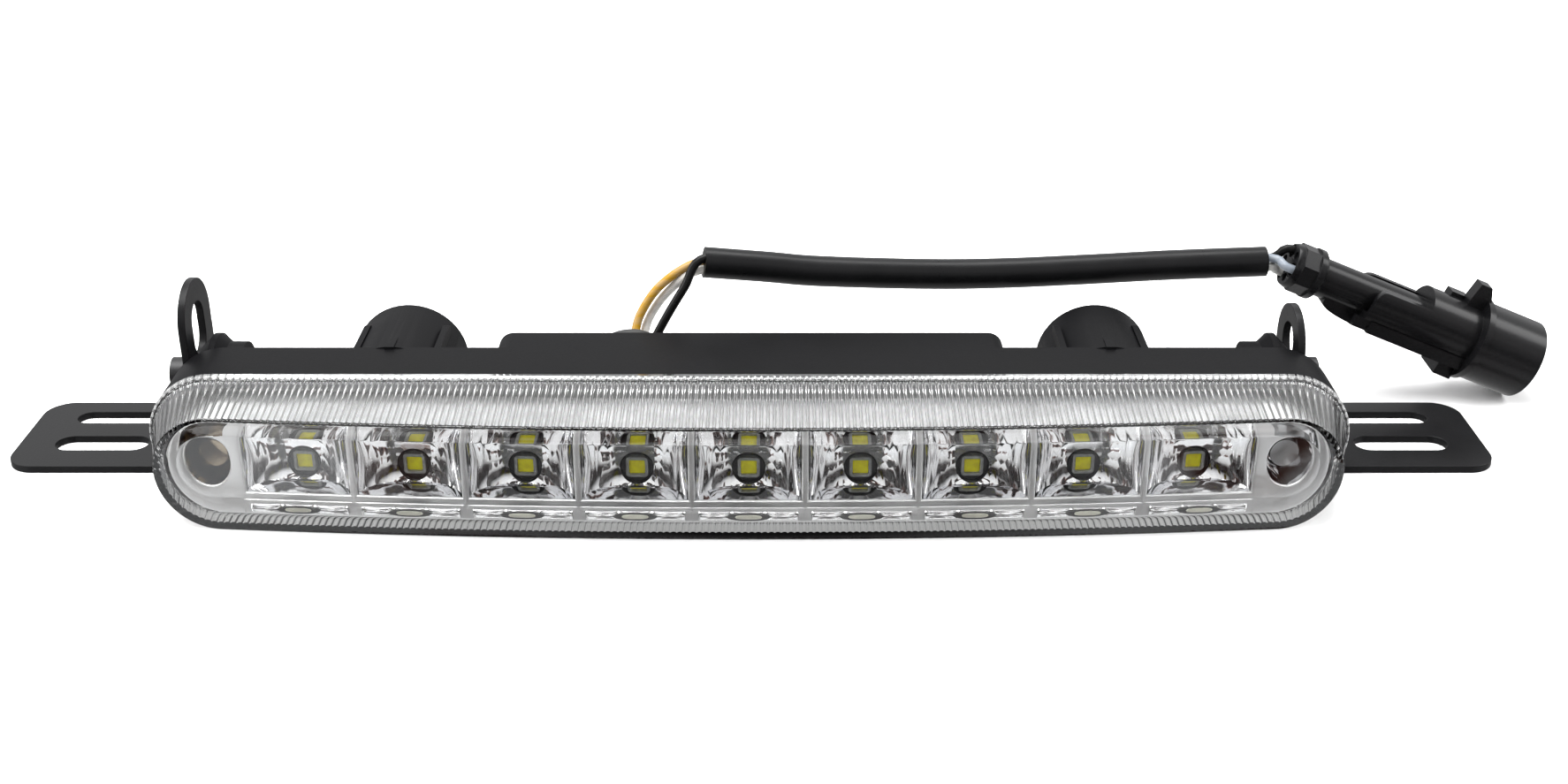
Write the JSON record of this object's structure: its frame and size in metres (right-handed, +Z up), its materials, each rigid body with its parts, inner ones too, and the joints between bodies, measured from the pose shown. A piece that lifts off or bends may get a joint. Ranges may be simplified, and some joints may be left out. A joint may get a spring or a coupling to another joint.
{
  "type": "daytime running light",
  "caption": "Slim LED daytime running light with a bowed clear lens, chrome reflector cells, black housing, slotted end brackets and a sleeved cable to a round connector.",
  "frame": {"origin": "middle of the footprint of the lamp and its two brackets, on the surface that the bracket plates rest on", "axes": "+X along the lamp towards the connector, -Y out of the lens, +Z up"},
  "size_m": [0.3123, 0.0735, 0.0377],
  "materials": {
    "black_plastic": "satin moulded",
    "clear_plastic": "clear polycarbonate, polished",
    "grey_seal": "sealant bead",
    "chrome": "vacuum metallised",
    "white_aluminium": "white solder mask on aluminium",
    "led_package": "phosphor face in a pale package",
    "green_board": "solder mask",
    "grey_ferrite": "sintered ferrite",
    "capacitor_can": "drawn can",
    "black_chip": "moulded epoxy",
    "zinc_screw": "zinc plated",
    "black_rubber": "matte",
    "black_painted_sheet": "satin black coat on steel sheet",
    "black_screw": "black oxide",
    "brass_insert": "knurled and threaded",
    "yellow_insulation": "extruded",
    "white_insulation": "extruded",
    "black_insulation": "extruded",
    "grey_insulation": "extruded",
    "black_sleeve": "satin tubing",
    "connector_plastic": "satin moulded",
    "orange_seal": "silicone",
    "tin_pin": "tin plated"
  },
  "bodies": {
    "root": {"housing": "black_plastic", "lens": "clear_plastic", "lens_seal": "grey_seal", "reflector": "chrome", "led_board": "white_aluminium", "led_1": "led_package", "led_2": "led_package", "led_3": "led_package", "led_4": "led_package", "led_5": "led_package", "led_6": "led_package", "led_7": "led_package", "led_8": "led_package", "led_9": "led_package", "driver_board": "green_board", "driver_coil": "grey_ferrite", "driver_capacitor": "capacitor_can", "driver_chip": "black_chip", "reflector_screw_left": "zinc_screw", "reflector_screw_right": "zinc_screw", "cable_gland": "black_rubber", "bracket_left": "black_painted_sheet", "bracket_right": "black_painted_sheet", "bolt_left": "black_screw", "bolt_right": "black_screw", "bolt_insert_left": "brass_insert", "bolt_insert_right": "brass_insert", "wire_yellow": "yellow_insulation", "wire_white": "white_insulation", "wire_black": "black_insulation", "cable_sleeve": "black_sleeve", "tail_wire_grey": "grey_insulation", "tail_wire_white": "white_insulation", "connector_body": "connector_plastic", "connector_seal": "orange_seal", "connector_retainer": "connector_plastic", "connector_pin_1": "tin_pin", "connector_pin_2": "tin_pin", "connector_pin_3": "tin_pin"}
  },
  "joints": []
}
